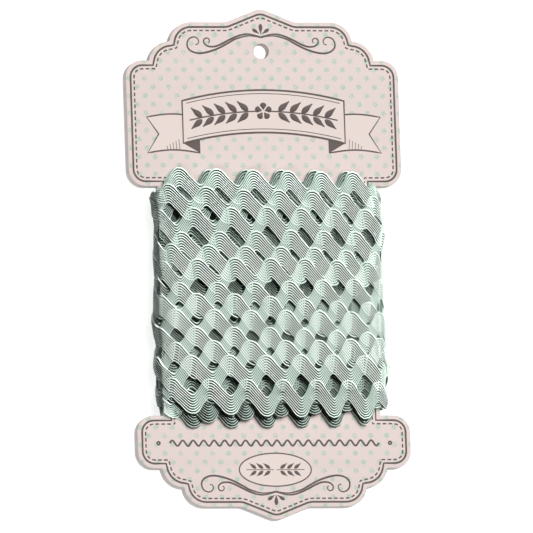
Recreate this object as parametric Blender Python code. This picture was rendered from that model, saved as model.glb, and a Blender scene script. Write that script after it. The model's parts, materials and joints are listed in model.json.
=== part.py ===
"""Ric rac trim wound round the waist of a die-cut display card, lying on its back.

The card is one thick board, with a stepped crest at each end, a narrow waist and a
hole to hang it by. The trim is one solid of its wound form, a closed ring round the
waist. Thirteen turns show on the front. Each laps over the turn above it, and its
edges follow the wave of the trim, so the ring is a stack of scalloped steps, with
pockets where two waves part. X runs across the card, Y along it and +Z out of its face.
"""
import math
from collections import namedtuple

import bmesh
import bpy

# Sizes are in millimetres, and are turned to metres when a point is placed.
MM = 0.001

# The board
BOARD = 6.0            # its thickness
HALF_WIDTH = 59.0      # at the two ends
WAIST = 46.3           # half of the width that carries the trim
WAIST_TOP = 33.05      # where the upper end's lower edge crosses the waist
WAIST_BOTTOM = -64.1   # where the lower end's upper edge crosses it
CORNER = 7.2           # radius of the four outer corners of each end
SHOULDER = 79.3        # the outer corners' centres, up or down from the middle
TIP = 108.2            # the crest's rounded tip
TIP_RADIUS = 7.0
LEDGE = 102.8          # the level ledge beside the tip
LEDGE_START = 15.8     # where the slope down from the tip meets the ledge
LEDGE_BLEND = 5.0      # radius of that hollow corner
UPPER_LOBE = (30.2, 93.4, 9.4)     # centre and radius of the step below the ledge
LOWER_LOBE = (38.9, 84.9, 9.9)     # centre and radius of the next step down
HANG_HOLE = (90.4, 3.175)          # height of its centre, and its radius
ARC_STEP = math.radians(9)         # how finely an arc is drawn

# The trim
BAND = 8.7             # height of the woven band, measured straight up
SWING = 3.6            # how far the wave swings each way
PITCH = 15.05          # one wave at the centre line
PITCH_CHANGE = -0.045  # the waves shorten towards +X, for each mm across
WAVES = 15             # waves in one whole turn
SHARPEN = 0.05         # makes the crests rounder and the troughs tighter
THICKNESS = 1.0        # of the band
POCKET = 1.5           # how deep the gaps between the waves are
OPEN_GAP = 3.0         # a gap this high is at its full depth
STEP = 0.35            # the slope of a band's edge, seen from the front
LINE_GAP = 0.16        # the least distance between two lines of the mesh

# The section of the ring, measured from the middle of the board
FRONT_HALF = 44.0      # half width of the crowned front and back
EDGE_HEIGHT = 7.3      # height at the ends of the crown
CROWN = 2.0            # how much higher the middle is
SIDE_DEPTH = 6.0       # how far the rounded sides stand out
SIDE_POWER = 0.8       # below 1, the sides are fuller than an ellipse
CLEAR = 0.3            # the gap between the trim and the board
NOTCH_CLEAR = 0.45     # the gap between the trim and the board's two ends
REST_HEIGHT = 8.7      # the middle of the board above the surface it lies on

FRONT_COLUMNS = 54
SIDE_COLUMNS = 12
BACK_COLUMNS = 30

# One row for each turn that shows, from the top down. crest: the height of its crests
# at the centre line. lean: its rise for each mm towards +X. phase: where its waves
# fall, in waves to the right of the centre line.
Turn = namedtuple("Turn", "crest lean phase")
TURNS = [
    Turn(crest=38.9, lean=-0.025, phase=0.55),
    Turn(crest=31.1, lean=-0.062, phase=0.29),
    Turn(crest=22.9, lean=-0.003, phase=0.92),
    Turn(crest=13.5, lean=0.011, phase=0.59),
    Turn(crest=6.6, lean=-0.040, phase=0.28),
    Turn(crest=1.0, lean=0.006, phase=0.97),
    Turn(crest=-8.1, lean=0.012, phase=0.47),
    Turn(crest=-15.0, lean=-0.043, phase=0.95),
    Turn(crest=-21.0, lean=-0.009, phase=0.37),
    Turn(crest=-28.5, lean=-0.032, phase=0.90),
    Turn(crest=-33.8, lean=0.014, phase=0.33),
    Turn(crest=-39.7, lean=0.007, phase=0.76),
    Turn(crest=-49.9, lean=-0.027, phase=0.18),
]
# The layer beneath shows a little above the first turn and below the last one.
UNDER_TOP = Turn(crest=38.4, lean=-0.010, phase=0.40)
UNDER_BOTTOM = Turn(crest=-53.8, lean=0.010, phase=0.15)

CARD_PINK = (0.80, 0.69, 0.66, 1.0)
SAGE_GREEN = (0.42, 0.50, 0.44, 1.0)


def clear_scene():
    for item in list(bpy.data.objects):
        bpy.data.objects.remove(item, do_unlink=True)


def new_collection(name):
    collection = bpy.data.collections.new(name)
    bpy.context.scene.collection.children.link(collection)
    return collection


def new_material(name, colour, roughness):
    material = bpy.data.materials.new(name)
    material.use_nodes = True
    shader = material.node_tree.nodes["Principled BSDF"]
    shader.inputs["Base Color"].default_value = colour
    shader.inputs["Roughness"].default_value = roughness
    shader.inputs["Metallic"].default_value = 0.0
    return material


def arc(x, y, radius, start, end):
    """Points of an arc between two angles in degrees, both ends included."""
    start, end = math.radians(start), math.radians(end)
    steps = max(1, round(abs(end - start) / ARC_STEP))
    turn = (end - start) / steps
    return [(x + radius * math.cos(start + turn * i), y + radius * math.sin(start + turn * i))
            for i in range(steps + 1)]


def crest_edge():
    """The right half of an end's outer edge, from its tip to its outer corner."""
    slope = math.degrees(math.atan2(TIP - LEDGE, LEDGE_START))
    blend_start = 270 - slope
    points = arc(0, TIP - TIP_RADIUS, TIP_RADIUS, 90, 90 - slope)
    points += arc(LEDGE_START, LEDGE + LEDGE_BLEND, LEDGE_BLEND, blend_start, 270)
    x, y, radius = UPPER_LOBE
    other_x, other_y, other_radius = LOWER_LOBE
    meet = other_y + other_radius
    points += arc(x, y, radius, 90, math.degrees(math.asin((meet - y) / radius)))
    ledge = SHOULDER + CORNER
    points += arc(other_x, other_y, other_radius, 86.0,
                  math.degrees(math.asin((ledge - other_y) / other_radius)))
    points += arc(HALF_WIDTH - CORNER, SHOULDER, CORNER, 90, 0)
    return points


def card_outline():
    """The whole outer edge of the board, drawn clockwise from the upper tip."""
    crest = crest_edge()
    corner_x = HALF_WIDTH - CORNER
    right = list(crest)
    right += arc(corner_x, WAIST_TOP + CORNER, CORNER, 0, -90)
    right += [(WAIST, WAIST_TOP), (WAIST, WAIST_BOTTOM)]
    right += arc(corner_x, WAIST_BOTTOM - CORNER, CORNER, 90, 0)
    right += [(x, -y) for x, y in reversed(crest)]
    left = [(-x, y) for x, y in reversed(right[1:-1])]
    return right + left


def hole_outline():
    height, radius = HANG_HOLE
    return arc(0, height, radius, 0, 360)[:-1]


def make_card(collection, material):
    """The board: its outline and its hang hole, as one flat curve with a thickness."""
    curve = bpy.data.curves.new("card", "CURVE")
    curve.dimensions = "2D"
    curve.fill_mode = "BOTH"
    curve.extrude = BOARD / 2 * MM
    for outline in (card_outline(), hole_outline()):
        spline = curve.splines.new("POLY")
        spline.points.add(len(outline) - 1)
        for point, (x, y) in zip(spline.points, outline):
            point.co = (x * MM, y * MM, 0.0, 1.0)
        spline.use_cyclic_u = True
    curve.materials.append(material)
    card = bpy.data.objects.new("card", curve)
    card.location.z = REST_HEIGHT * MM
    collection.objects.link(card)
    return card


# A column is one station round the ring. outer and inner are its points on the
# outside of the trim and on the tunnel that the board fills, out is the outward
# direction, x the place across the card, and on_edge is true beside the board's edge.
Column = namedtuple("Column", "outer inner out x on_edge")


def face_column(x, side):
    """A station on the crowned front (side 1) or back (side -1)."""
    height = EDGE_HEIGHT + CROWN * (1 - (x / FRONT_HALF) ** 2)
    tilt = math.atan(2 * CROWN * x / FRONT_HALF ** 2)
    inner = (x, side * (BOARD / 2 + CLEAR))
    out = (math.sin(tilt), side * math.cos(tilt))
    return Column((x, side * height), inner, out, x, False)


def side_column(angle, side):
    """A station on a rounded side, at an angle from level in degrees."""
    turn = math.radians(angle)
    level, rise = math.cos(turn), math.sin(turn)
    x = FRONT_HALF + SIDE_DEPTH * max(level, 0.0) ** SIDE_POWER
    height = math.copysign(abs(rise) ** SIDE_POWER, rise) * EDGE_HEIGHT
    tunnel_x, tunnel_z = WAIST + CLEAR, BOARD / 2 + CLEAR
    past_corner = max(0.0, (abs(angle) - 45) / 45)
    inner_x = tunnel_x + (FRONT_HALF - tunnel_x) * past_corner
    inner_z = tunnel_z * max(-1.0, min(1.0, angle / 45))
    on_edge = abs(angle) < 45.5
    return Column((side * x, height), (side * inner_x, inner_z), (side * level, rise),
                  side * x, on_edge)


def ring_columns():
    """The stations of the whole ring: the front left to right, then round the back."""
    columns = []
    for i in range(FRONT_COLUMNS):
        columns.append(face_column(FRONT_HALF * (2 * i / FRONT_COLUMNS - 1), 1))
    for i in range(SIDE_COLUMNS):
        columns.append(side_column(90 - 180 * i / SIDE_COLUMNS, 1))
    for i in range(BACK_COLUMNS):
        columns.append(face_column(FRONT_HALF * (1 - 2 * i / BACK_COLUMNS), -1))
    for i in range(SIDE_COLUMNS):
        columns.append(side_column(-90 + 180 * i / SIDE_COLUMNS, -1))
    return columns


def waves_across(x):
    """How many waves lie between the centre line and a place on the front."""
    return math.log(1 + PITCH_CHANGE / PITCH * x) / PITCH_CHANGE


def wave_places(columns):
    """Each station's place along the wave: as the front shows, then evenly round."""
    places = [waves_across(column.x) for column in columns[:FRONT_COLUMNS]]
    first, last = places[0], waves_across(FRONT_HALF)
    rest = columns[FRONT_COLUMNS:] + columns[:1]
    lengths = [0.0]
    for a, b in zip(rest, rest[1:]):
        lengths.append(lengths[-1] + math.dist(a.outer, b.outer))
    waves = first + WAVES - last
    return places + [last + waves * length / lengths[-1] for length in lengths[:-1]]


def upper_edge(turn, x, place):
    """The height of a turn's upper edge at a station."""
    angle = math.tau * (place - turn.phase)
    wave = math.cos(angle) - SHARPEN * math.cos(2 * angle) - 1 + SHARPEN
    return turn.crest + turn.lean * x + SWING * wave


def own_lines(x, place):
    """The mesh lines of one station as (height, stand-out), before they are spaced."""
    proud, low = 0.6 * THICKNESS, -0.35 * THICKNESS
    edges = [upper_edge(turn, x, place) for turn in TURNS]
    behind = upper_edge(UNDER_TOP, x, place)
    lines = [(max(behind, edges[0] + 2 * STEP), low - THICKNESS)]
    floor = low - 0.8 * THICKNESS
    for i, edge in enumerate(edges):
        if i:
            gap = edges[i - 1] - BAND - edge
            floor = low - POCKET * max(0.0, min(1.0, gap / OPEN_GAP))
        lines.append((edge + STEP, floor))
        lines.append((edge, proud))
        lines.append((edge - BAND, low))
    beneath = upper_edge(UNDER_BOTTOM, x, place) - BAND
    lines.append((edges[-1] - BAND - STEP, low - 0.8 * THICKNESS))
    lines.append((min(beneath, edges[-1] - BAND - 2 * STEP), low - THICKNESS))
    return lines


def spaced_lines(column, place):
    """The station's lines in order: a lower turn covers the one above it."""
    lines = own_lines(column.x, place)
    heights = [height for height, lift in lines]
    if column.on_edge:
        heights[-1] = max(heights[-1], WAIST_BOTTOM + NOTCH_CLEAR)
    for i in range(len(heights) - 2, -1, -1):
        heights[i] = max(heights[i], heights[i + 1] + LINE_GAP)
    if column.on_edge:
        heights[0] = min(heights[0], WAIST_TOP - NOTCH_CLEAR)
    for i in range(1, len(heights)):
        heights[i] = min(heights[i], heights[i - 1] - LINE_GAP)
    return [(height, lift) for height, (own, lift) in zip(heights, lines)]


def ring_section(column, place):
    """The closed loop of points of one station, down the outside and up the tunnel."""
    loop = []
    lines = spaced_lines(column, place)
    for height, lift in lines:
        x = column.outer[0] + column.out[0] * lift
        z = REST_HEIGHT + column.outer[1] + column.out[1] * lift
        loop.append((x, height, max(z, 0.0)))
    inner_x, inner_z = column.inner
    for height in (lines[-1][0], lines[0][0]):
        loop.append((inner_x, height, REST_HEIGHT + inner_z))
    return loop


def make_winding(collection, material):
    """The wound trim: a torus whose points are moved to the stations' sections."""
    columns = ring_columns()
    sections = [ring_section(column, place)
                for column, place in zip(columns, wave_places(columns))]
    loop_size = len(sections[0])
    bpy.ops.mesh.primitive_torus_add(major_segments=len(sections), minor_segments=loop_size)
    winding = bpy.context.object
    winding.name = "winding"
    for i, vertex in enumerate(winding.data.vertices):
        x, y, z = sections[i // loop_size][i % loop_size]
        vertex.co = (x * MM, y * MM, z * MM)
    solid = bmesh.new()
    solid.from_mesh(winding.data)
    bmesh.ops.recalc_face_normals(solid, faces=solid.faces)
    solid.to_mesh(winding.data)
    solid.free()
    winding.data.materials.append(material)
    for owner in winding.users_collection:
        owner.objects.unlink(winding)
    collection.objects.link(winding)
    return winding


def main():
    clear_scene()
    parts = new_collection("ric_rac_card")
    board = new_material("display_board", CARD_PINK, 0.7)
    braid = new_material("sage_braid", SAGE_GREEN, 0.85)
    make_card(parts, board)
    make_winding(parts, braid)


main()
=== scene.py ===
# %% [markdown]
# # Ric rac trim on its display card
#
# Ric rac is a flat woven braid whose cords are beaten into a wave. About eleven metres of it
# are wound round the waist of a thick die-cut card, turn lapping over turn. Two solids come
# from the frame: the board and the ring of trim. This lesson dresses both. The board gets
# rounded edges, printed paper and ink, and the ring is replaced by the braid itself, laid
# turn by turn so that each turn rests on what lies beneath it.

# %% Loading the frame
import json
import math

import bmesh
import bpy
import numpy as np
from mathutils import Matrix, Vector

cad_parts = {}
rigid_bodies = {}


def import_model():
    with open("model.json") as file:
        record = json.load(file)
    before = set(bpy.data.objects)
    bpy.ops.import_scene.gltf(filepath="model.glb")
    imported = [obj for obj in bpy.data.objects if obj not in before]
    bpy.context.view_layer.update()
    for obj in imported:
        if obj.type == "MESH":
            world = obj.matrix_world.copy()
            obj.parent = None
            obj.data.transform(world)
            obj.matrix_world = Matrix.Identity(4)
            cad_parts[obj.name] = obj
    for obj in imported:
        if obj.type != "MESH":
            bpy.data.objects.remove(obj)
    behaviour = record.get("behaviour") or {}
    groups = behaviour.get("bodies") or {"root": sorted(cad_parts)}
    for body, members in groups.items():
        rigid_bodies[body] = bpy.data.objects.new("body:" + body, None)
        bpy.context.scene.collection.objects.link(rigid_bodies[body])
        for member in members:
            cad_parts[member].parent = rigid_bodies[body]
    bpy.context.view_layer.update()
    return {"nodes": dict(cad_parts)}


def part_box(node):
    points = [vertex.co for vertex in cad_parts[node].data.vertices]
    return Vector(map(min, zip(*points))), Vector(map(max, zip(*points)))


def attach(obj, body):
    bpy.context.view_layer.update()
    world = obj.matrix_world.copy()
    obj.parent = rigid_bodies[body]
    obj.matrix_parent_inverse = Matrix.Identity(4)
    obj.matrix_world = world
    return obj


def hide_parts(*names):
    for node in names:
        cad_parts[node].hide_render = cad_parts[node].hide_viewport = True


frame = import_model()

MM = 0.001   # every size below is in millimetres, and is turned to metres with this
card_low, card_high = (np.array(corner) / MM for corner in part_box("card"))
ring_low, ring_high = (np.array(corner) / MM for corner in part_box("winding"))
print("card from", card_low.round(1), "to", card_high.round(1))
print("ring from", ring_low.round(1), "to", ring_high.round(1))

# %% [markdown]
# ## The camera
#
# The photograph was taken with a long lens, a little from the left of the card and from
# below its middle: the card's level lines stay level, its upright lines lean, and the left
# and lower walls of the board show. A camera ten metres away has next to no
# perspective, so it gives the same picture. Its three axes are written out, because the
# photographer kept the card's cross lines level and let the upright ones lean.

# %% Camera
PHOTO = 533              # the photograph's width and height in pixels
MM_PER_PIXEL = 0.42005   # at the card
CARD_MIDDLE = (268.4, 264.15)   # the pixel where the middle of the card's face lies
CAMERA_DISTANCE = 10000
CAMERA_REACH = 40        # how far the camera sees, in metres
SENSOR = 36.0

toward_camera = Vector((-0.2372, -0.1359, 0.9619)).normalized()
camera_up = Vector((0, toward_camera.z, -toward_camera.y)).normalized()
camera_right = camera_up.cross(toward_camera).normalized()

face_middle = Vector((0, 0, card_high[2]))
right_shift = (PHOTO / 2 - CARD_MIDDLE[0]) * MM_PER_PIXEL
up_shift = (CARD_MIDDLE[1] - PHOTO / 2) * MM_PER_PIXEL
aim = face_middle + camera_right * right_shift + camera_up * up_shift

bpy.ops.object.camera_add()
camera = bpy.context.object
camera.name = "camera"
axes = Matrix((camera_right, camera_up, toward_camera)).transposed()
camera_place = Matrix.Translation((aim + toward_camera * CAMERA_DISTANCE) * MM)
camera.matrix_world = camera_place @ axes.to_4x4()
camera.data.sensor_width = SENSOR
camera.data.lens = SENSOR * CAMERA_DISTANCE / (PHOTO * MM_PER_PIXEL)
camera.data.clip_end = CAMERA_REACH
bpy.context.scene.camera = camera
print("lens", round(camera.data.lens), "mm")

# %% [markdown]
# ## Finishes
#
# Colours are picked as sRGB hex values, because that is how a print or a dye is matched by
# eye, and one function turns them to the linear values that a shader works with. Another adds
# a node with its settings and its links. A few more wrap the nodes that are used again and
# again, so that each material below reads as a list of steps.

# %% Helpers for materials


def linear(code):
    """An sRGB hex colour as the linear colour that a shader needs."""
    colour = []
    for place in (1, 3, 5):
        value = int(code[place:place + 2], 16) / 255
        colour.append(value / 12.92 if value <= 0.04045 else ((value + 0.055) / 1.055) ** 2.4)
    return (*colour, 1.0)


def new_material(name, colour, roughness):
    """A material and its Principled shader."""
    material = bpy.data.materials.new(name)
    material.use_nodes = True
    shader = material.node_tree.nodes["Principled BSDF"]
    shader.inputs["Base Color"].default_value = linear(colour)
    shader.inputs["Roughness"].default_value = roughness
    return material, shader


def add_node(material, kind, links=None, **settings):
    """Adds a node. Settings are its properties, and links feed its inputs by place or name."""
    node = material.node_tree.nodes.new(kind)
    for name, value in settings.items():
        setattr(node, name, value)
    for key, value in (links or {}).items():
        if isinstance(value, bpy.types.NodeSocket):
            material.node_tree.links.new(value, node.inputs[key])
        else:
            node.inputs[key].default_value = value
    return node


def feed(material, socket, target):
    material.node_tree.links.new(socket, target)


def math_node(material, operation, a, b=0.0, c=0.0):
    """One step of arithmetic, as an output socket."""
    node = add_node(material, "ShaderNodeMath", {0: a, 1: b, 2: c}, operation=operation)
    return node.outputs[0]


def noise(material, place, scale, detail=2.0):
    """Cloudy noise, as an output socket."""
    links = {"Vector": place, "Scale": scale, "Detail": detail}
    return add_node(material, "ShaderNodeTexNoise", links).outputs[0]


def remap(material, value, start, end, low=0.0, high=1.0, **settings):
    """A value moved from one range to another, as an output socket."""
    links = {0: value, 1: start, 2: end, 3: low, 4: high}
    return add_node(material, "ShaderNodeMapRange", links, **settings).outputs[0]


def ramp(material, value, stops):
    """A colour between stops, each a place and a hex code, as an output socket."""
    node = add_node(material, "ShaderNodeValToRGB", {0: value})
    elements = node.color_ramp.elements
    for number, (place, code) in enumerate((stops[0], stops[-1])):
        elements[number].position = place
        elements[number].color = linear(code)
    for place, code in stops[1:-1]:
        elements.new(place).color = linear(code)
    return node.outputs[0]


def add_bump(material, shader, height, strength, distance):
    """Roughens a shader with a height socket. The distance is in millimetres."""
    links = {"Height": height, "Strength": strength, "Distance": distance * MM}
    bump = add_node(material, "ShaderNodeBump", links)
    feed(material, bump.outputs[0], shader.inputs["Normal"])


# %% [markdown]
# ### Printed card face
#
# The face of the card is litho-printed paper laminated to board: a dusty pink ground with a
# scattered print of small five-petalled flowers in mint. Such a print could be an image, but
# a repeat this simple is shorter as arithmetic. The plane is cut into cells, every second
# row is moved by half a cell, and in each cell the distance and the angle from its middle
# say whether a point lies in a petal. The print is worn and faint, so noise eats at it.

# %% Printed paper
FLOWER_PITCH_X = 6.85    # between flowers in one row
FLOWER_PITCH_Y = 3.698   # between rows
FLOWER_SHIFT = (0.6, 1.22)   # where one flower of the repeat lies on the card
FLOWER_RADIUS = 1.35
PETAL_MIDDLE = 0.8       # how far the petals reach on average, as a share of the radius
PETAL_WAVE = 0.13        # how much further their tips reach, as a share too
PETAL_FADE = (-0.35, 0.45)   # the print fades in between these distances, in mm
PINK = "#e6d9d4"
ROSE = "#ead5d1"
PALE = "#eedcd4"
MINT = "#aecdb8"


def flower_mask(material, point):
    """1 in a petal and 0 outside, from a position in metres."""

    def maths(operation, *values):
        return math_node(material, operation, *values)

    pitch = np.array([FLOWER_PITCH_X, FLOWER_PITCH_Y])
    scale = (*(1 / (pitch * MM)), 1.0)
    shift = (*(0.5 - np.array(FLOWER_SHIFT) / pitch), 0.0)
    spread = add_node(material, "ShaderNodeVectorMath", {0: point, 1: scale, 2: shift},
                      operation="MULTIPLY_ADD").outputs[0]
    split = add_node(material, "ShaderNodeSeparateXYZ", {0: spread})
    odd = maths("MODULO", maths("ABSOLUTE", maths("FLOOR", split.outputs["Y"])), 2.0)
    column = maths("ADD", split.outputs["X"], maths("MULTIPLY", odd, 0.5))
    from_x = maths("SUBTRACT", maths("FRACT", column), 0.5)
    from_y = maths("SUBTRACT", maths("FRACT", split.outputs["Y"]), 0.5)
    x = maths("MULTIPLY", from_x, FLOWER_PITCH_X)
    y = maths("MULTIPLY", from_y, FLOWER_PITCH_Y)
    distance = maths("SQRT", maths("ADD", maths("MULTIPLY", x, x), maths("MULTIPLY", y, y)))
    wave = maths("COSINE", maths("MULTIPLY_ADD", maths("ARCTAN2", y, x), 5.0, 1.2))
    reach = maths("MULTIPLY_ADD", wave, PETAL_WAVE * FLOWER_RADIUS, PETAL_MIDDLE * FLOWER_RADIUS)
    petals = remap(material, maths("SUBTRACT", reach, distance), *PETAL_FADE,
                   interpolation_type="SMOOTHSTEP")
    heart = remap(material, distance, 0.0, 0.5, 0.35, 1.0)
    return maths("MULTIPLY", petals, heart)


def mix_colour(material, factor, first, second):
    """Mixes two colours, each a socket or a hex code, and returns the output socket."""
    mix = add_node(material, "ShaderNodeMix", {0: factor}, data_type="RGBA")
    for place, colour in ((6, first), (7, second)):
        if isinstance(colour, str):
            mix.inputs[place].default_value = linear(colour)
        else:
            feed(material, colour, mix.inputs[place])
    return mix.outputs[2]


def paper_material(name, ground, blush, printed):
    """Matt paper with a faint tooth, cloudy between two tints, and the print where wanted."""
    material, shader = new_material(name, ground, 0.62)
    place = add_node(material, "ShaderNodeTexCoord").outputs["Object"]
    colour = mix_colour(material, noise(material, place, 90.0, 3.0), ground, blush)
    if printed:
        wear = remap(material, noise(material, place, 700.0, 3.0), 0.38, 0.58, 0.45, 0.95)
        mask = math_node(material, "MULTIPLY", flower_mask(material, place), wear)
        colour = mix_colour(material, mask, colour, MINT)
    feed(material, colour, shader.inputs["Base Color"])
    add_bump(material, shader, noise(material, place, 1500.0), 0.15, 0.05)
    return material


paper = paper_material("printed_paper", PINK, ROSE, True)
plain_paper = paper_material("plain_tinted_paper", PALE, PINK, False)


# %% [markdown]
# ### Board, back and ink
#
# The wall of the board is cut greyboard, which is pulped paper: pale grey with short fibres
# lying along the sheet. The back is the same stock lined with plain white paper. The ink is
# a warm brown, put down as a thin layer of its own above the paper.

# %% Board and ink


def fibre_material(name, pale, dark, stretch):
    """Cut or lined board: two close greys streaked along the sheet."""
    material, shader = new_material(name, pale, 0.85)
    place = add_node(material, "ShaderNodeTexCoord").outputs["Object"]
    flat = add_node(material, "ShaderNodeMapping", {0: place, 3: (1.0, 1.0, stretch)})
    fibres = noise(material, flat.outputs[0], 700.0, 4.0)
    colour = ramp(material, fibres, [(0.35, dark), (0.65, pale)])
    feed(material, colour, shader.inputs["Base Color"])
    add_bump(material, shader, fibres, 0.3, 0.1)
    return material


board_edge = fibre_material("greyboard_edge", "#ccc7c6", "#b5afad", 5.0)
board_back = fibre_material("white_lined_back", "#ece9e4", "#e2ded8", 1.0)
ink = new_material("brown_ink", "#47332d", 0.45)[0]
print("materials", [m.name for m in bpy.data.materials])

# %% [markdown]
# ### Sage braid
#
# The braid is cotton and polyester yarn, dyed a grey green. Each cord catches the light on
# its crown and holds shade in the groove beside it. That shade and light are also painted
# into the colour: the mesh carries each point's place between crown and groove, and the
# colour runs from a painted near-black shade in the grooves to a painted near-white highlight
# on the crowns. The yarn's own twist is far finer than the photograph shows: it is drawn as
# a bump on the braid's own map, where U runs along the cords and V across them.

# %% Braid material
YARN_TWIST = 0.7         # mm between the strands of one cord, drawn coarse enough to show close up


def braid_material():
    """Ribbed yarn: its sage colour carries painted shade in the grooves and a painted highlight on
    the crowns.
    """
    material, shader = new_material("sage_cotton_braid", "#c4d0c6", 0.82)
    shader.inputs["Sheen Weight"].default_value = 0.15
    shader.inputs["Sheen Roughness"].default_value = 0.5
    crown_and_painted_shade = add_node(material, "ShaderNodeAttribute", attribute_name="crown_and_painted_shade")
    # Painted shade and painted highlight: near black in the grooves, near white on the crowns.
    shade = ramp(material, crown_and_painted_shade.outputs["Fac"],
                 [(0.0, "#070a08"), (0.72, "#26332c"), (0.9, "#a5bbae"), (1.0, "#fbfffc")])
    place = add_node(material, "ShaderNodeTexCoord")
    patches = noise(material, place.outputs["Object"], 160.0, 3.0)
    tone = remap(material, patches, 0.3, 0.7, 0.93, 1.05)
    colour = add_node(material, "ShaderNodeVectorMath", {0: shade, 1: tone}, operation="MULTIPLY")
    feed(material, colour.outputs[0], shader.inputs["Base Color"])
    twist = add_node(material, "ShaderNodeMapping",
                     {0: place.outputs["UV"], 3: (1 / YARN_TWIST, 1 / YARN_TWIST, 1.0)})
    twist.inputs["Rotation"].default_value = (0, 0, math.radians(28))
    strands = add_node(material, "ShaderNodeTexWave",
                       {0: twist.outputs[0], "Scale": 1.0, "Distortion": 0.6})
    fuzz = noise(material, place.outputs["Object"], 4000.0)
    rough = math_node(material, "ADD", strands.outputs["Fac"],
                      math_node(material, "MULTIPLY", fuzz, 0.6))
    add_bump(material, shader, rough, 0.15, 0.12)
    return material


braid = braid_material()

# %% [markdown]
# ## The board
#
# The CAD card has the right outline, but its edges are sharp, and pressed board is never
# quite sharp. The outline is read from the CAD mesh as loops of points. A flat curve drawn
# through them, filled, thickened and given a small round bevel, is the quickest way to a
# board with soft edges, and it is then made a mesh.

# %% Outline loops from the CAD card
EDGE_ROUND = 0.4         # radius of the board's pressed edges


def rim_loops(node):
    """The closed loops round a node's top face, longest first, in millimetres."""
    solid = bmesh.new()
    solid.from_mesh(frame["nodes"][node].data)
    bmesh.ops.remove_doubles(solid, verts=solid.verts, dist=1e-6)
    top = max(v.co.z for v in solid.verts) - 1e-5
    beside = {}
    for edge in solid.edges:
        level = [face for face in edge.link_faces if face.normal.z > 0.9]
        if len(level) == 1 and min(v.co.z for v in edge.verts) > top:
            a, b = edge.verts
            beside.setdefault(a, []).append(b)
            beside.setdefault(b, []).append(a)
    loops = []
    while beside:
        start = next(iter(beside))
        loop, here, last = [], start, None
        while here in beside:
            loop.append((here.co.x / MM, here.co.y / MM))
            ways = beside.pop(here)
            last, here = here, next((v for v in ways if v in beside), None)
            if here is None:
                break
        loops.append(np.array(loop))
    solid.free()
    return sorted(loops, key=len, reverse=True)


def counter_clockwise(loop):
    x, y = loop[:, 0], loop[:, 1]
    area = np.sum(x * np.roll(y, -1) - y * np.roll(x, -1))
    return loop if area > 0 else loop[::-1]


def inset(loop, distance):
    """A counter-clockwise loop moved inwards, with its corners kept square."""
    along = np.roll(loop, -1, axis=0) - loop
    along /= np.linalg.norm(along, axis=1)[:, None]
    inward = np.stack([-along[:, 1], along[:, 0]], axis=1)
    both = inward + np.roll(inward, 1, axis=0)
    both /= np.linalg.norm(both, axis=1)[:, None]
    stretch = distance / np.sum(both * inward, axis=1)
    return loop + both * stretch[:, None]


rims = [counter_clockwise(loop) for loop in rim_loops("card")]
outline, hang_hole = rims[0], rims[1]
print("outline points", len(outline), "hole points", len(hang_hole))


# %% The board as a rounded, filled curve


def select_only(piece):
    bpy.ops.object.select_all(action="DESELECT")
    piece.select_set(True)
    bpy.context.view_layer.objects.active = piece


def finish_mesh(piece, name, material, angle=35):
    """Names a piece, gives it its finish, shades it and makes it ride on the only body."""
    piece.name = piece.data.name = name
    if material:
        piece.data.materials.clear()
        piece.data.materials.append(material)
    select_only(piece)
    bpy.ops.object.shade_smooth_by_angle(angle=math.radians(angle))
    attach(piece, "root")


def add_spline(curve, points, closed=True):
    """Adds straight lines through points, given in millimetres, to a curve."""
    spline = curve.splines.new("POLY")
    spline.points.add(len(points) - 1)
    columns = [points * MM, np.zeros(len(points)), np.ones(len(points))]
    spline.points.foreach_set("co", np.column_stack(columns).ravel())
    spline.use_cyclic_u = closed
    return spline


def curve_to_mesh(name, curve):
    """A selected mesh object made from a curve."""
    piece = bpy.data.objects.new(name, curve)
    bpy.context.scene.collection.objects.link(piece)
    select_only(piece)
    bpy.ops.object.convert(target="MESH")
    return piece


def filled_curve(name, loops, half_thickness, rounding, height):
    """A flat filled outline with a thickness and round edges, made a mesh at its height."""
    curve = bpy.data.curves.new(name, "CURVE")
    curve.dimensions = "2D"
    curve.fill_mode = "BOTH"
    curve.extrude = (half_thickness - rounding) * MM
    curve.bevel_depth = rounding * MM
    curve.bevel_resolution = 2
    curve.offset = -rounding * MM
    for loop in loops:
        add_spline(curve, loop)
    piece = curve_to_mesh(name, curve)
    piece.location.z = height * MM
    bpy.ops.object.transform_apply(location=True, rotation=True, scale=True)
    bpy.ops.object.mode_set(mode="EDIT")
    bpy.ops.mesh.select_all(action="SELECT")
    bpy.ops.mesh.remove_doubles(threshold=1e-6)
    bpy.ops.mesh.normals_make_consistent(inside=False)
    bpy.ops.object.mode_set(mode="OBJECT")
    return piece


board_middle = (card_low[2] + card_high[2]) / 2
board_half = (card_high[2] - card_low[2]) / 2
board = filled_curve("board", [outline, hang_hole], board_half, EDGE_ROUND, board_middle)
for material in (board_edge, paper, board_back):
    board.data.materials.append(material)
for face in board.data.polygons:
    if face.normal.z > 0.5:
        face.material_index = 1
    elif face.normal.z < -0.5:
        face.material_index = 2
finish_mesh(board, "board", None)
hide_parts("card")
print("board", len(board.data.polygons), "faces,", [round(d / MM, 1) for d in board.dimensions])

# %% [markdown]
# ## Printed lines
#
# A pen line is a tube pressed nearly flat: a curve with a round bevel, wide where its points
# have a large radius and thin where they have a small one, scaled down in height. It sits on
# the paper as raised ink does. The border and the row of stitches follow the board's own
# outline, moved inwards.

# %% Ink strokes
INK_HEIGHT = 0.05        # how far the ink stands above the paper
PEN_RADIUS = 0.5         # of the tube before it is pressed flat
BORDER_INSET = 2.1
BORDER_WIDTH = 0.82
STITCH_INSET = 3.6
STITCH_LENGTH = 1.6
STITCH_PITCH = 2.55
STITCH_WIDTH = 0.62


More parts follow.
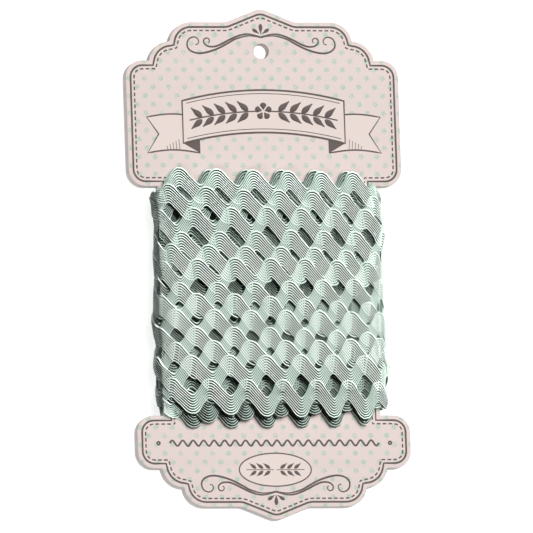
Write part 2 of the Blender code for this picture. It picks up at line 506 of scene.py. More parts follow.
def ink_strokes(name, strokes, height=0.0):
    """Flat ink lines. Each stroke is (points, widths, closed), in millimetres."""
    curve = bpy.data.curves.new(name, "CURVE")
    curve.dimensions = "3D"
    curve.bevel_depth = PEN_RADIUS * MM
    curve.bevel_resolution = 1
    curve.use_fill_caps = True
    for points, widths, closed in strokes:
        points = np.asarray(points, float)
        widths = np.broadcast_to(np.asarray(widths, float), len(points))
        spline = add_spline(curve, points, closed)
        spline.points.foreach_set("radius", np.ascontiguousarray(widths))
    piece = curve_to_mesh(name, curve)
    piece.scale.z = INK_HEIGHT / PEN_RADIUS
    piece.location.z = (card_high[2] + height) * MM
    bpy.ops.object.transform_apply(location=True, rotation=True, scale=True)
    finish_mesh(piece, name, ink, 80)


def walk(loop, closed=True):
    """The running length at each point of a path, and the path with its end point."""
    path = np.vstack([loop, loop[:1]]) if closed else np.asarray(loop, float)
    steps = np.linalg.norm(np.diff(path, axis=0), axis=1)
    return np.concatenate([[0.0], np.cumsum(steps)]), path


def stitches(loop):
    """Short strokes set evenly along a closed loop."""
    lengths, path = walk(loop)
    count = round(lengths[-1] / STITCH_PITCH)
    strokes = []
    for start in np.arange(count) * lengths[-1] / count:
        along = np.linspace(start, start + STITCH_LENGTH, 3) % lengths[-1]
        places = [np.interp(along, lengths, path[:, axis]) for axis in (0, 1)]
        strokes.append((np.column_stack(places), STITCH_WIDTH, False))
    return strokes


ink_strokes("border_line", [(inset(outline, BORDER_INSET), BORDER_WIDTH, True)])
ink_strokes("stitch_line", stitches(inset(outline, STITCH_INSET)))

# %% [markdown]
# ## Scrolls, ribbon and oval
#
# The card is decorated in the manner of an old haberdashery label: a pair of pen scrolls
# with a three-drop flower at the top and at the foot, a ribbon across the middle, and an
# oval below. The ribbon, the leaves on it and the wavy rule are a plain design of this
# lesson's own. Each stroke is a smooth path through a few points, and its mirror image.

# %% Pen strokes
PATH_STEPS = 10          # points of a smooth path between two given ones
PEN_THIN = 0.42          # a swelling stroke's width at its ends
MIRROR = (-1, 1)


def smooth_path(points):
    """A smooth path through the points, each a row of numbers."""
    p = np.asarray(points, float)
    p = np.vstack([2 * p[0] - p[1], p, 2 * p[-1] - p[-2]])
    t = np.linspace(0, 1, PATH_STEPS, endpoint=False)[:, None]
    rows = []
    for a, b, c, d in zip(p, p[1:], p[2:], p[3:]):
        rows.append(0.5 * (2 * b + (c - a) * t + (2 * a - 5 * b + 4 * c - d) * t ** 2
                           + (3 * b - a - 3 * c + d) * t ** 3))
    return np.vstack(rows + [p[-2:-1]])


def stroke(points, widest):
    """A pen stroke that swells towards its middle."""
    path = smooth_path(points)
    lengths = walk(path, False)[0]
    swell = np.sin(math.pi * np.clip(lengths / lengths[-1], 0.04, 0.96))
    return path, PEN_THIN + (widest - PEN_THIN) * swell, False


def drop(tip, bulb, width):
    """A teardrop from its pointed tip to its round end."""
    tip, bulb = np.array(tip, float), np.array(bulb, float)
    t = np.linspace(0, 1, 9)
    widths = width * np.sin(math.pi * (0.06 + 0.86 * t ** 1.6))
    return tip + (bulb - tip) * t[:, None], widths, False


def mirrored(strokes):
    """Strokes together with their mirror images."""
    return strokes + [(np.asarray(path) * MIRROR, *rest) for path, *rest in strokes]


def leaf_pair(x, y, length, spread_to, width):
    return [drop((x + length, y + side * spread_to), (x, y + side * 0.5), width)
            for side in (1, -1)]


# %% Scrolls
CURL_WIDTH = 0.85
INNER_CURL = [(0, 96.5), (-2.1, 97.1), (-5.2, 97.7), (-7.9, 97.5), (-11, 96.5), (-14.2, 95),
              (-17.3, 93.4), (-20.2, 92.4), (-22.8, 92.5), (-24.4, 93.5), (-24.8, 94.9),
              (-24, 95.9), (-22.8, 95.8), (-22.3, 94.8), (-22.8, 93.9)]
OUTER_CURL = [(0, 96.2), (-2.9, 96.8), (-6.4, 96.9), (-11, 95.6), (-14.2, 93.9), (-17.4, 92.2),
              (-20.5, 90.9), (-24.4, 89.8), (-27.6, 89.6), (-30.4, 90.5), (-31.9, 92.3),
              (-31.7, 94.7), (-30.2, 96.2), (-28.2, 96.3), (-27, 95), (-27.3, 93.6),
              (-28.4, 93.2)]
scroll = mirrored([stroke(INNER_CURL, CURL_WIDTH), stroke(OUTER_CURL, CURL_WIDTH),
                   drop((-0.7, 97.9), (-3.6, 99.9), 1.5)]) + [drop((0, 97.8), (0, 102.1), 1.7)]
foot_scroll = [(path * (1, -1), widths, closed) for path, widths, closed in scroll]
ink_strokes("scrolls", scroll + foot_scroll)

# %% Ribbon and oval
PATCH_HALF = 0.012       # half the thickness of a tinted patch
THIN_LINE = 0.34
RIBBON_Y = 60.3
RIBBON_ARCH = 4.6
RIBBON_REACH = 35.0
RIBBON_HALF = 9.0
TAIL_START = 28
TAIL_LENGTH = 22.5
TAIL_HALF = 7.6
RULE_Y = -75.8
DOT_RADIUS = 0.6
OVAL_Y = -87.1


def ribbon_middle(x):
    return RIBBON_Y + RIBBON_ARCH * (1 - (np.asarray(x) / RIBBON_REACH) ** 2)


def tail_middle(x):
    return 54.8 + 1.3 * np.sin((x - TAIL_START) / TAIL_LENGTH * math.pi)


across_x = np.linspace(-RIBBON_REACH, RIBBON_REACH, 41)
arch = ribbon_middle(across_x)
band_shape = np.vstack([np.column_stack([across_x, arch - RIBBON_HALF]),
                        np.column_stack([across_x, arch + RIBBON_HALF])[::-1]])
tail_x = np.linspace(TAIL_START, TAIL_START + TAIL_LENGTH, 12)
tail_y = tail_middle(tail_x)
tail_shape = np.vstack([np.column_stack([tail_x, tail_y - TAIL_HALF]), [(45.5, 55.2)],
                        np.column_stack([tail_x, tail_y + TAIL_HALF])[::-1]])
fold_shape = np.array([(28, 47.2), (35, 51.3), (28, 53.0)])
oval_angle = np.linspace(0, math.tau, 64, endpoint=False)
oval_shape = np.column_stack([15.5 * np.cos(oval_angle), OVAL_Y + 6.95 * np.sin(oval_angle)])

patches = [
    ("ribbon_tail_left", tail_shape * MIRROR, 0.015, plain_paper),
    ("ribbon_tail_right", tail_shape, 0.015, plain_paper),
    ("ribbon_fold_left", fold_shape * MIRROR, 0.045, ink),
    ("ribbon_fold_right", fold_shape, 0.045, ink),
    ("ribbon_band", band_shape, 0.075, plain_paper),
    ("oval_panel", oval_shape, 0.02, plain_paper),
]
for name, shape, lift, finish in patches:
    patch = filled_curve(name, [shape], PATCH_HALF, 0, card_high[2] + lift)
    finish_mesh(patch, name, finish)

# %% Lines on the ribbon and below it
hatching = []
for place in range(5):
    x = 36.6 + place * 1.3
    foot = tail_middle(x) - 7.4
    hatching.append(([(x, foot), (x + 0.3, foot + 4.4 - place * 0.7)], THIN_LINE, False))
ink_strokes("ribbon_tail_lines", mirrored([(tail_shape, 0.7, True)] + hatching), 0.02)

band_lines = [(band_shape, 0.8, True)]
for side in (1, -1):
    inner_line = np.column_stack([across_x, arch + side * (RIBBON_HALF - 1.5)])
    band_lines.append((inner_line[1:-1], THIN_LINE, False))
for x in (6.6, 11.6, 16.6, 21.6, 26.6):
    band_lines += mirrored(leaf_pair(x, float(ribbon_middle(x + 2)), 4.7, 4.5, 2.6))
stem_x = np.linspace(3.4, 32, 20)
band_lines += mirrored([(np.column_stack([stem_x, ribbon_middle(stem_x)]), 0.6, False)])
centre = np.array([0, float(ribbon_middle(0))])
for petal in range(5):
    turn = math.radians(90 + 72 * petal)
    toward = np.array([math.cos(turn), math.sin(turn)])
    band_lines.append(drop(centre + toward * 0.7, centre + toward * 3.7, 2.8))
ink_strokes("ribbon_lines", band_lines, 0.09)

rule_x = np.linspace(-45.2, 45.2, 400)
rule_y = RULE_Y + 1.15 * np.sin(rule_x / 4.52 * math.tau)
lower_lines = [(np.column_stack([rule_x, rule_y]), 0.8, False), (oval_shape, 0.62, True)]
dot = np.column_stack([np.cos(oval_angle[::4]), np.sin(oval_angle[::4])])
lower_lines += mirrored([(dot * DOT_RADIUS + (50.0, RULE_Y), 0.75, True)])
for x in (2.2, 5.2, 8.2):
    lower_lines += mirrored(leaf_pair(x, OVAL_Y, 3.0, 2.8, 1.6))
lower_lines += mirrored([([(0.6, OVAL_Y), (12.6, OVAL_Y)], 0.45, False)])
ink_strokes("lower_lines", lower_lines, 0.02)

# %% [markdown]
# ## The braid's path
#
# The trim is one long band wound round the card's waist. A point on it is given by how far
# it lies round the ring, how high it lies on the card, and how deep it lies in the winding.
# The ring's section is a crowned front and back with two full round sides, as in the frame.
# Stations are set evenly round it.

# %% Section of the ring
FRONT_HALF = 42.0
EDGE_HEIGHT = 7.3
CROWN = 2.0
SIDE_DEPTH = 8.7
SIDE_POWER = 1.2
SIDE_START = 38.0        # from here outwards the band starts to gather for the notch
SIDE_FULL = 47.0
CLEAR = 0.15             # between the first turn and the board
STATION_STEP = 0.9       # mm between stations
FRONT_STEPS = 400        # points of the section on its front, and on its back
SIDE_STEPS = 240         # points on each side
WAIST_REACH = 66         # the card's widest ends lie further than this from its middle
WAIST = np.abs(outline[np.abs(outline[:, 1]) < WAIST_REACH][:, 0]).min()
on_waist = outline[np.abs(np.abs(outline[:, 0]) - WAIST) < 0.01]
NOTCH_TOP = on_waist[on_waist[:, 1] > 0][0, 1]
NOTCH_BOTTOM = on_waist[on_waist[:, 1] < 0][0, 1]


def side_share(x):
    """How much a place belongs to the ring's side: 0 on the front, 1 past the corner."""
    near = min(1.0, max(0.0, (x - SIDE_START) / (SIDE_FULL - SIDE_START)))
    return near * near * (3 - 2 * near)


def section_curve():
    """Dense points round the ring: outside x and z, inside x and z, and the side.

    The last is 0 on the front and back. It rises to 1 towards the right side and falls
    to -1 towards the left one."""
    rows = []
    tunnel_x, tunnel_z = WAIST + CLEAR, board_half + CLEAR
    for side in (1, -1):
        for x in np.linspace(-FRONT_HALF, FRONT_HALF, FRONT_STEPS, endpoint=False) * side:
            rise = EDGE_HEIGHT + CROWN * (1 - (x / FRONT_HALF) ** 2)
            share = math.copysign(side_share(abs(x)), x)
            rows.append((x, side * rise, x, side * tunnel_z, share))
        for angle in np.linspace(90, -90, SIDE_STEPS, endpoint=False) * side:
            turn = math.radians(angle)
            level, rise = max(math.cos(turn), 0.0), math.sin(turn)
            x = FRONT_HALF + SIDE_DEPTH * level ** SIDE_POWER
            z = math.copysign(abs(rise) ** SIDE_POWER, rise) * EDGE_HEIGHT
            past = max(0.0, (abs(angle) - 45) / 45)
            inner_x = tunnel_x + (FRONT_HALF - tunnel_x) * past
            inner_z = tunnel_z * max(-1.0, min(1.0, angle / 45))
            rows.append((side * x, z, side * inner_x, inner_z, side * side_share(x)))
    return np.array(rows)


curve = section_curve()
closed_curve = np.vstack([curve, curve[:1]])
curve_steps = np.linalg.norm(np.diff(closed_curve[:, :2], axis=0), axis=1)
curve_length = np.concatenate([[0], np.cumsum(curve_steps)])
GIRTH = curve_length[-1]
STATIONS = round(GIRTH / STATION_STEP)
FRONT_LENGTH = curve_length[FRONT_STEPS]
print("girth", round(GIRTH, 1), "mm in", STATIONS, "stations; front", round(FRONT_LENGTH, 1))


def on_section(where):
    """Section values at running lengths round the ring, which may be any shape of array."""
    place = np.mod(where, GIRTH)
    return [np.interp(place, curve_length, closed_curve[:, i]) for i in range(5)]


# %% [markdown]
# ## Turns
#
# The table gives each turn that shows on the front: the height of its crests at the centre
# line, its lean, and where its waves fall. Waves are a little shorter towards the right, as
# the photograph shows. Round the back a turn drops to where the next one starts. Three more
# layers lie beneath. Four of their turns show at the upper and lower edges and are read from
# the photograph too. The rest have made-up places, and a fixed seed keeps them the same.

# %% Turn table
BAND = 8.7               # height of the band, measured straight up
SWING = 3.6
STRAIGHTEN = 0.02        # part of a third harmonic, which makes the flanks straighter
SKEW = 0.12              # part of a second harmonic, which makes the left flanks the steeper ones
PITCH = 15.05
PITCH_CHANGE = -0.045
BACK_PITCH = 14.4
DRIFT_REACH = 61         # stations over which the braid's random changes are smoothed
WOBBLE = 0.25            # how far a turn strays up and down, in mm
SWELL = 0.05             # how much its waves differ, as a share of their height

FRONT_TURNS = [          # crest height, lean, phase
    (40.1, -0.025, 0.63), (31.35, -0.058, 0.313), (23.65, -0.003, 0.947), (13.45, 0.011, 0.621),
    (6.85, -0.036, 0.315), (1.6, 0.006, 1.007), (-7.2, 0.014, 0.512), (-14.25, -0.043, 0.96),
    (-20.0, -0.009, 0.393), (-27.8, -0.032, 0.906), (-32.75, 0.02, 0.349), (-38.9, 0.007, 0.766),
    (-49.5, -0.03, 0.231),
]
LAST_TURN_SWELL = 0.0024  # the bottom turn's waves grow towards the right, per mm
STRAY_TURN = (-49.7, 0.075, 0.66)
TOP_TURN_BENEATH = (39.9, -0.010, 0.45)
SECOND_TURN_BENEATH = (32.0, -0.025, 0.62)
LOW_TURN_BENEATH = (-53.5, 0.010, 0.28)
rng = np.random.default_rng(12)


def hidden_layer(count, top, bottom, upward):
    """A layer that hardly shows: evenly spread turns with small random shifts."""
    crests = np.linspace(top, bottom, count) + rng.normal(0, 0.8, count)
    leans = rng.normal(0, 0.025, count)
    phases = rng.random(count)
    turns = list(zip(crests, leans, phases))
    return turns[::-1] if upward else turns


beneath = ([TOP_TURN_BENEATH, SECOND_TURN_BENEATH] + hidden_layer(11, 25.5, -44.0, False)
           + [STRAY_TURN, LOW_TURN_BENEATH])
turns = (hidden_layer(13, 36.0, -46.0, True) + hidden_layer(13, 36.5, -47.0, False)
         + beneath[::-1] + FRONT_TURNS)
OUTER_START = len(turns) - len(FRONT_TURNS)
MIDDLE_START = OUTER_START - len(beneath)


def waves_across(x):
    return np.log(1 + PITCH_CHANGE / PITCH * x) / PITCH_CHANGE


def centre_line():
    """Height and phase of the band's middle at every station of every turn."""
    s = np.arange(STATIONS) * GIRTH / STATIONS
    on_front = s < FRONT_LENGTH
    x_front = np.clip((s - FRONT_LENGTH / 2) * FRONT_HALF / (FRONT_LENGTH / 2),
                      -FRONT_HALF, FRONT_HALF)
    back_length = GIRTH - FRONT_LENGTH
    t = (s - FRONT_LENGTH) / back_length
    ease = t * t * (3 - 2 * t)
    left, right = waves_across(-FRONT_HALF), waves_across(FRONT_HALF)
    start_rate = back_length / (PITCH + PITCH_CHANGE * FRONT_HALF)
    end_rate = back_length / (PITCH - PITCH_CHANGE * FRONT_HALF)
    heights, phases = [], []
    for (crest, lean, phase), after in zip(turns, turns[1:] + turns[-1:]):
        centre = crest - SWING - BAND / 2
        end = centre + lean * FRONT_HALF
        next_start = after[0] - SWING - BAND / 2 - after[1] * FRONT_HALF
        heights.append(np.where(on_front, centre + lean * x_front, end + (next_start - end) * ease))
        whole = round(back_length / BACK_PITCH - (left - after[2]) + (right - phase))
        gain = left - after[2] + whole - (right - phase)
        back = ((t ** 3 - 2 * t ** 2 + t) * start_rate + (3 * t ** 2 - 2 * t ** 3) * gain
                + (t ** 3 - t ** 2) * end_rate)
        phases.append(np.where(on_front, waves_across(x_front) - phase, right - phase + back))
    return np.concatenate(heights), np.concatenate(phases)


height, phase = centre_line()
kernel = np.hanning(DRIFT_REACH)
kernel /= kernel.sum()


def drift(size):
    """Slow random change along the whole braid, with the given spread."""
    values = np.convolve(rng.normal(0, 1, len(height)), kernel, "same")
    return values * (size / values.std())


wobble = drift(WOBBLE)
swell = drift(SWELL)
last_x = np.arange(STATIONS) * GIRTH / STATIONS - FRONT_LENGTH / 2
swell[-STATIONS:] += LAST_TURN_SWELL * np.clip(last_x, -FRONT_HALF, FRONT_HALF)
angle = math.tau * phase
wave = np.cos(angle) - SKEW * np.sin(2 * angle) + STRAIGHTEN * np.cos(3 * angle)
wave /= 1 + STRAIGHTEN
middle = height + wobble + SWING * (1 + swell) * wave
step = GIRTH / STATIONS
steepness = np.gradient(middle, step)
band_length = np.sum(np.hypot(step, steepness * step)) / 1000
print("turns", len(turns), "band length", round(band_length, 1), "m along the wave")

# %% [markdown]
# ## Laying the turns
#
# Cloth simulation of eleven metres of braid would take far too long, and it wouldn't put
# the waves where the photograph has them. The band is laid by a rule instead. A chart holds
# how high the winding stands at every place on the ring. For each turn the chart is read
# beneath the band, and the band is drawn down on it as a taut sheet: over and over it is
# smoothed, then lifted back to where it rests on something. The band's own thickness is
# then added to the chart, and the next turn is laid.

# %% Stacking
BODY = 0.72              # thickness of the band below its cords
CORD_RISE = 0.75         # how far a cord's crown stands above its grooves
PRESSED = 0.7            # the part of that rise which holds the next turn up
ACROSS = 17              # points across the band while it is laid
ROUNDS = 36              # smoothing rounds: more makes a stiffer band
HELD = 12                # stations of one turn that hold the start of the next
INSIDE_MIX = 0.15        # how far cords on the inside of a bend spread square to the wave
OUTSIDE_MIX = 0.52       # the same on the outside, where the bends are rounder
DEPTH_SHARE = 85         # per cent of the winding that is not deeper than its full depth
CHART_STEP = 0.35
chart_y = np.arange(-76, 46, CHART_STEP)
chart = np.zeros((STATIONS, len(chart_y)))

slant = np.hypot(1, steepness)
normal_s, normal_y = -steepness / slant, 1 / slant


def spread_point(index, across):
    """Where a point across the band lies: how far along all the turns, and how high."""
    outside = np.clip(np.cos(angle[index]) * across, 0, 1)
    mix = INSIDE_MIX + (OUTSIDE_MIX - INSIDE_MIX) * outside
    offset = across * BAND / 2
    along = index * step + mix * normal_s[index] * offset
    return along, middle[index] + offset * (1 - mix + mix * normal_y[index])


every = np.arange(len(middle))
lower_edge = np.interp(every * step, *spread_point(every, -1.0))
upper_edge = np.interp(every * step, *spread_point(every, 1.0))
spread = np.linspace(0, 1, ACROSS)


def soften(sheet):
    """One round of smoothing along the band and across it."""
    long = np.pad(sheet, ((2, 2), (0, 0)), "edge")
    sheet = (long[:-4] + 4 * long[1:-3] + 6 * long[2:-2] + 4 * long[3:-1] + long[4:]) / 16
    wide = np.pad(sheet, ((0, 0), (1, 1)), "edge")
    return (wide[:, :-2] + 2 * wide[:, 1:-1] + wide[:, 2:]) / 4


def between(table, row, column):
    """Values of a table between its rows and columns."""
    row = np.clip(row, 0, table.shape[0] - 1.001)
    column = np.clip(column, 0, table.shape[1] - 1.001)
    r, c = row.astype(int), column.astype(int)
    down, right = row - r, column - c
    return ((table[r, c] * (1 - right) + table[r, c + 1] * right) * (1 - down)
            + (table[r + 1, c] * (1 - right) + table[r + 1, c + 1] * right) * down)


def lay_turn(index, tail):
    """Lays one turn on the chart and returns the height of its underside."""
    span = slice(index * STATIONS, (index + 1) * STATIONS)
    low, high = lower_edge[span, None], upper_edge[span, None]
    rows = np.arange(STATIONS)[:, None]
    cell = (low + spread * (high - low) - chart_y[0]) / CHART_STEP
    support = np.vstack([tail, between(chart, np.broadcast_to(rows, cell.shape), cell)])
    sheet = support.copy()
    for _ in range(ROUNDS):
        sheet = np.maximum(soften(sheet), support)
        sheet[:len(tail)] = tail
    sheet = sheet[len(tail):]
    place = (chart_y[None, :] - low) / (high - low)
    top = between(sheet, np.broadcast_to(rows, place.shape), place * (ACROSS - 1))
    top += BODY + CORD_RISE * PRESSED
    covered = (place >= 0) & (place <= 1)
    chart[covered] = top[covered]
    return sheet


undersides = []
tail = np.zeros((HELD, ACROSS))
for index in range(len(turns)):
    sheet = lay_turn(index, tail)
    undersides.append(sheet)
    tail = sheet[-HELD:]
underside = np.vstack(undersides)
inner_chart = chart[:, (chart_y > -55) & (chart_y < 28)]
FULL_DEPTH = np.percentile(inner_chart, DEPTH_SHARE)
print("winding depth", round(float(inner_chart.mean()), 2), "full", round(float(FULL_DEPTH), 2))

# %% [markdown]
# ## The braid as a mesh
#
# The band's mesh starts as a grid primitive, as long as its stations and as wide as the loop
# round the band: eight ribbed cords across the top, then a plain underside. Each row of
# the grid is bent into that loop and put on the ring. The loop's two long sides are merged
# and its ends are closed. Turns that show get full cords, and hidden ones get fewer points.
# Where the wave falls to the right its cords stand open and show deeper grooves, and the shade
# painted in them is darker; where it climbs they lie closed. The upper selvedge gets a
# painted highlight, and the underside and the lower edge get painted shade.

# %% Band meshes
CORDS = 8
CORD_SHAPE = 0.75        # below 1, a cord's crown is broader than its groove
SELVEDGE_RISE = 0.45     # of the body's thickness, at the band's two edges
LOWER_EDGE_PAINTED_SHADE = 0.7   # painted shade of the lower edge
UNDER_REACH = 0.93       # how far the plain underside reaches across
UNDER_RISE = 0.04
# The underside's painted shade
UNDER_PAINTED_SHADE = 0.3
FULL_SLOPE = 1.2         # the slope at which cords are wholly open or closed
OPEN_LEVEL, OPEN_GAIN = 0.85, 0.3           # a cord's rise on the level, and what a fall adds
PAINTED_CONTRAST_LEVEL, PAINTED_CONTRAST_GAIN = 0.62, 0.45  # the contrast of its painted shade, in the same way
LEAST_PAINTED_CONTRAST = 0.4
PAINTED_SHADE_PIVOT = 0.9         # the painted shade that keeps its value at any contrast
PAINTED_HIGHLIGHT_START, PAINTED_HIGHLIGHT_FADE = 0.84, 0.06  # where the painted highlight on the upper selvedge starts, across
PAINTED_HIGHLIGHT_LEVEL, PAINTED_HIGHLIGHT_GAIN = 0.91, 0.05  # its painted highlight on the level, and what a fall adds
CORD_LENGTH = 1.35       # of a cord for each mm round the ring, about
SQUEEZE_TOP = NOTCH_TOP - 0.6
SQUEEZE_BOTTOM = NOTCH_BOTTOM + 0.6
SQUEEZE_REACH = 9.0
SQUEEZE_CLEAR = 0.5      # the band is gathered wholly within this height above the board's faces
SQUEEZE_FADE = 2.4       # and not at all this much higher
# How far each side stands out or in at some heights, in mm
SIDE_HEIGHTS = (-61, -54, -47, -43, -37, -34, -30, -24, -17,
                -10, -3, 3, 10, 14, 17, 20, 27, 31)
LEFT_BULGE = (0.2, 0.2, -0.2, 0.8, -0.6, -1.0, -0.3, 0.5, -0.3,
              -1.1, -1.5, -1.1, -1.5, -1.7, -2.0, -1.2, -0.7, 0.1)
RIGHT_BULGE = (1.0, 0.4, 0.5, 1.2, -0.3, 0.3, 0.4, 0.2, 0.1,
               -0.2, -0.2, -0.5, 1.1, 1.5, 1.6, 0.8, 0.5, 0.8)


def squeeze(y, side):
    """Gathers the band into the notch where it passes the board's edge."""
    top = SQUEEZE_TOP - SQUEEZE_REACH
    bottom = SQUEEZE_BOTTOM + SQUEEZE_REACH
    over = np.maximum(y - top, 0)
    under = np.maximum(bottom - y, 0)
    held = (y - over + SQUEEZE_REACH * (1 - np.exp(-over / SQUEEZE_REACH))
            + under - SQUEEZE_REACH * (1 - np.exp(-under / SQUEEZE_REACH)))
    return y + (held - y) * side


falling = np.clip(-steepness / FULL_SLOPE, -1, 1)   # 1 where the wave falls, -1 where it climbs


def band_loop(samples, under_points):
    """Across the band: place from -1 to 1, rise above the underside, and crown, 0 to 1, which also
    sets the painted shade; the underside and the lower edge get darker painted shade.
    """
    count = CORDS * samples
    across = np.linspace(-1, 1, count + 1)
    crown_and_painted_shade = np.abs(np.sin(np.linspace(0, CORDS * math.pi, count + 1))) ** CORD_SHAPE
    rise = BODY + CORD_RISE * crown_and_painted_shade
    rise[0] = rise[-1] = SELVEDGE_RISE * BODY
    # The lower edge gets painted shade.
    crown_and_painted_shade[0] = LOWER_EDGE_PAINTED_SHADE
    back = np.linspace(UNDER_REACH, -UNDER_REACH, under_points)
    return (np.concatenate([across, back, across[:1]]),
            np.concatenate([rise, np.full(under_points, UNDER_RISE), rise[:1]]),
            np.concatenate([crown_and_painted_shade, np.full(under_points, UNDER_PAINTED_SHADE), crown_and_painted_shade[:1]]))


def painted_cord_shade(fall, across, rise, crown_and_painted_shade):
    """The painted shade of each point: harder where the wave falls, with a painted highlight on the
    upper selvedge.
    """
    on_top = rise > BODY / 4
    # Painted shade: grooves are painted darker where the wave falls to the right, across the light
    # from the upper right.
    contrast = np.clip(PAINTED_CONTRAST_LEVEL + PAINTED_CONTRAST_GAIN * fall, LEAST_PAINTED_CONTRAST, 1)
    shade = np.where(on_top, PAINTED_SHADE_PIVOT + (crown_and_painted_shade - PAINTED_SHADE_PIVOT) * contrast, crown_and_painted_shade)
    # Painted highlight: the upper selvedge is painted bright, where the light from above catches
    # it.
    painted_highlight = np.clip((across - PAINTED_HIGHLIGHT_START) / PAINTED_HIGHLIGHT_FADE, 0, 1) * on_top
    return shade + painted_highlight * (PAINTED_HIGHLIGHT_LEVEL + PAINTED_HIGHLIGHT_GAIN * fall - shade)


def band_points(stations, across, rise):
    """Places of the band's points, as an array of stations by points by three."""
    index, across = np.broadcast_arrays(stations[:, None], across)
    open_cords = OPEN_LEVEL + OPEN_GAIN * falling[stations][:, None]
    rise = np.where(rise > BODY, BODY + (rise - BODY) * open_cords, rise)
    along, y = spread_point(index, across)
    low = np.interp(along, every * step, lower_edge)
    high = np.interp(along, every * step, upper_edge)
    base = between(underside, along / step, (y - low) / (high - low) * (ACROSS - 1))
    outer_x, outer_z, inner_x, inner_z, side = on_section(along)
    depth = base / FULL_DEPTH
    out_x, out_z = outer_x - inner_x, outer_z - inner_z
    reach = np.hypot(out_x, out_z)
    lift = depth * (reach - BODY - CORD_RISE) + rise
    bulge = np.where(side > 0, np.interp(y, SIDE_HEIGHTS, RIGHT_BULGE),
                     np.interp(y, SIDE_HEIGHTS, LEFT_BULGE))
    x = inner_x + out_x / reach * lift + bulge * side * depth
    z = inner_z + out_z / reach * lift
    fade = board_half + SQUEEZE_CLEAR + SQUEEZE_FADE - np.abs(z)
    near = np.clip(fade / SQUEEZE_FADE, 0, 1)
    held = np.abs(side) * near * near * (3 - 2 * near)
    return np.stack([x, squeeze(y, held), np.maximum(board_middle + z, 0.0)], axis=-1)


def band_mesh(name, first, last, samples, under_points, stride):
    """One stretch of the braid, from one station to another."""
    stations = np.arange(first, last + 1, stride)
    stations = stations[stations < len(middle)]
    across, rise, crown_and_painted_shade = band_loop(samples, under_points)
    points = band_points(stations, across, rise) * MM
    bpy.ops.mesh.primitive_grid_add(x_subdivisions=len(across) - 1,
                                    y_subdivisions=len(stations) - 1)
    piece = bpy.context.object
    mesh = piece.data
    assert len(mesh.vertices) == len(stations) * len(across), (len(mesh.vertices), points.shape)
    mesh.vertices.foreach_set("co", points.ravel())
    shade = painted_cord_shade(falling[stations][:, None], across, rise, crown_and_painted_shade)
    # This attribute carries the painted shade and painted highlight that the braid's colour
    # follows.
    mesh.attributes.new("crown_and_painted_shade", "FLOAT", "POINT").data.foreach_set("value", shade.ravel())
    corner = np.empty(len(mesh.loops), np.int32)
    mesh.loops.foreach_get("vertex_index", corner)
    along = stations[corner // len(across)] * step * CORD_LENGTH
    strip = np.concatenate([[0], np.cumsum(np.abs(np.diff(across)))]) * BAND / 2
    places = np.column_stack([along, strip[corner % len(across)]])
    mesh.uv_layers[0].data.foreach_set("uv", places.ravel())
    bpy.ops.object.mode_set(mode="EDIT")
    bpy.ops.mesh.select_all(action="SELECT")
    bpy.ops.mesh.remove_doubles(threshold=1e-7)
    bpy.ops.mesh.select_all(action="DESELECT")
    bpy.ops.mesh.select_non_manifold(extend=False)
    bpy.ops.mesh.fill_holes(sides=0)
    bpy.ops.mesh.select_all(action="SELECT")
    bpy.ops.mesh.normals_make_consistent(inside=False)
    bpy.ops.object.mode_set(mode="OBJECT")
    finish_mesh(piece, name, braid, 75)
    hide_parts("winding")
    triangles = sum(len(p.vertices) - 2 for p in mesh.polygons)
    print(name, len(stations), "stations,", triangles, "triangles")


def turn_start(turn, shift=0.62):
    """The station where a turn's stretch begins: on the back, where no join shows."""
    return round((turn - 1 + shift) * STATIONS)


band_mesh("braid_inner", 0, turn_start(MIDDLE_START), 1, 3, 2)
band_mesh("braid_middle", turn_start(MIDDLE_START), turn_start(OUTER_START), 2, 3, 1)
cuts = [turn_start(OUTER_START + extra) for extra in (0, 4, 8, 11)]
cuts.append(turn_start(len(turns), 0.72))
for number, (first, last) in enumerate(zip(cuts, cuts[1:]), 1):
    band_mesh(f"braid_outer_{number}", first, last, 6, 5, 1)

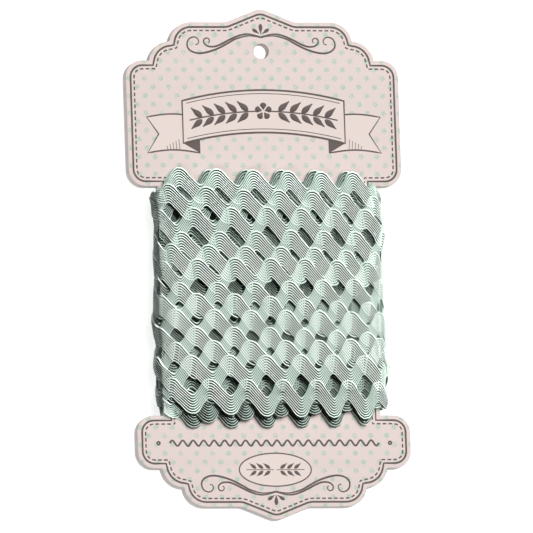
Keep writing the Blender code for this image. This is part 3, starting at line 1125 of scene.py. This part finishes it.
# %% [markdown]
# ## Floor and light
#
# The photograph is lit from the upper right. A lamp forty degrees high rakes across the cords
# and leaves the pockets between the waves dark, and a weak low one beyond the card's top
# reaches the left side. The card is lit far more softly than the braid, so it has two broad
# lamps of its own. Each lamp is linked to the pieces that it lights. The floor is plain and
# pale, and a white room fills in a little.

# %% Floor
FLOOR_SIZE = 6           # in metres
bpy.ops.mesh.primitive_plane_add(size=FLOOR_SIZE)
floor = bpy.context.object
floor.name = "floor"
white, white_shader = new_material("white_floor", "#c0c0c0", 0.9)
white_shader.inputs["Emission Color"].default_value = linear("#ffffff")
white_shader.inputs["Emission Strength"].default_value = 0.72
floor.data.materials.append(white)

# %% Lights
ROOM = 0.03              # the white room's brightness


def sun_lamp(name, azimuth, elevation, strength, softness, pieces):
    """A distant lamp that lights only the given pieces. Angles are in degrees."""
    bpy.ops.object.light_add(type="SUN")
    lamp = bpy.context.object
    lamp.name = lamp.data.name = name
    lamp.data.energy = strength
    lamp.data.angle = math.radians(softness)
    toward = Vector((1, 0, 0))
    toward.rotate(Matrix.Rotation(math.radians(-elevation), 3, "Y"))
    toward.rotate(Matrix.Rotation(math.radians(azimuth), 3, "Z"))
    lamp.rotation_euler = toward.to_track_quat("Z", "Y").to_euler()
    lamp.location = toward
    lit = bpy.data.collections.new(name + "_lights")
    for piece in pieces:
        lit.objects.link(piece)
    lamp.light_linking.receiver_collection = lit


sky = bpy.data.worlds.new("white_room")
sky.use_nodes = True
background = sky.node_tree.nodes["Background"]
background.inputs["Color"].default_value = linear("#ffffff")
background.inputs["Strength"].default_value = ROOM
bpy.context.scene.world = sky
braid_parts = [o for o in bpy.data.objects if o.name.startswith("braid_")]
card_parts = [o for o in bpy.data.objects if o.type == "MESH" and o not in braid_parts]
sun_lamp("raking_lamp", 45, 40, 9.3, 3, braid_parts)
sun_lamp("left_lamp", 103, 12, 0.6, 6, braid_parts)
sun_lamp("top_lamp", 50, 65, 2.7, 50, card_parts)
sun_lamp("card_fill", 225, 35, 0.9, 30, card_parts)

bpy.context.scene.view_settings.view_transform = "Standard"
bpy.context.scene.view_settings.look = "None"
